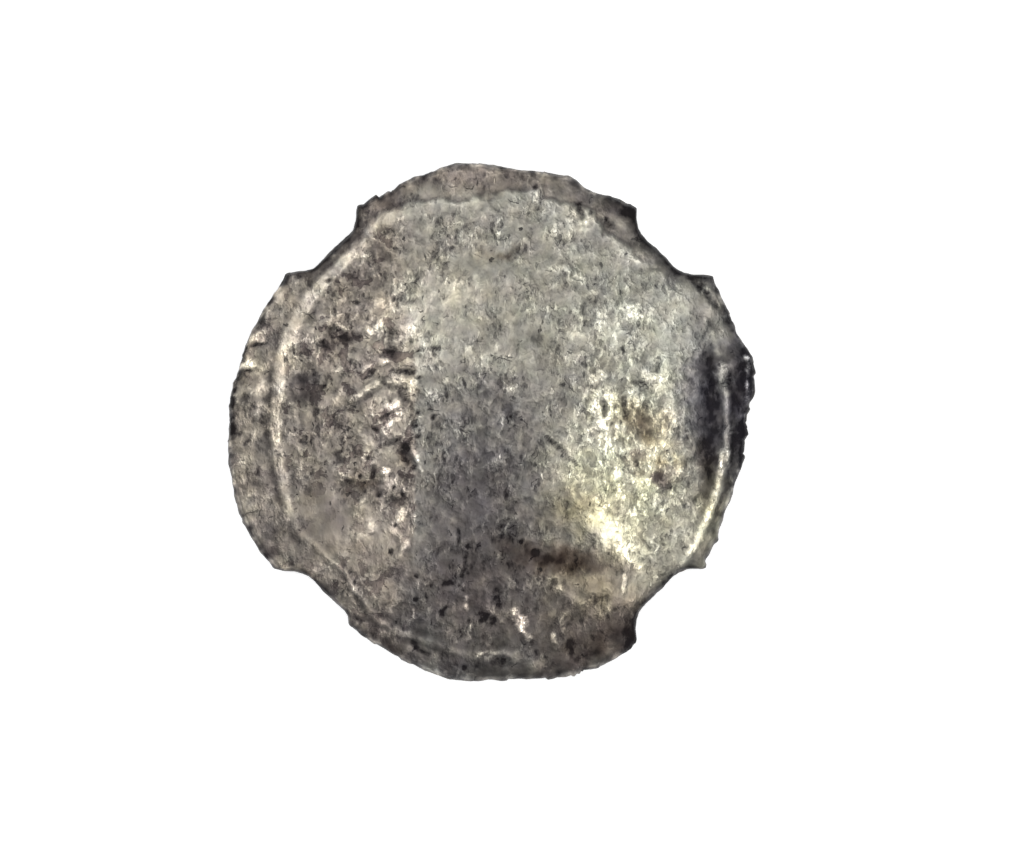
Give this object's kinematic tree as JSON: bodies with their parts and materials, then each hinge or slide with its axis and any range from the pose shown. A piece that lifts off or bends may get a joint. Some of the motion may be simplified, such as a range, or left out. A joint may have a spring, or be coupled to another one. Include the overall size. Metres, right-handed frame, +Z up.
{
  "type": "drachm coin",
  "caption": "Thin hand-struck silver coin worn nearly smooth, with a raised line border, a ragged edge and scalloped bites in its rim; lies flat on its reverse.",
  "frame": {"origin": "on the surface the coin lies on, under the middle of its box", "axes": "+Z up out of the obverse, +X to the obverse's right, +Y to the obverse's top"},
  "size_m": [0.02, 0.0196, 0.0014],
  "materials": {
    "toned_silver": "worn satin silver with grey-brown toning, dark pits and brighter rubbed high points"
  },
  "bodies": {
    "root": {"coin": "toned_silver"}
  },
  "joints": []
}
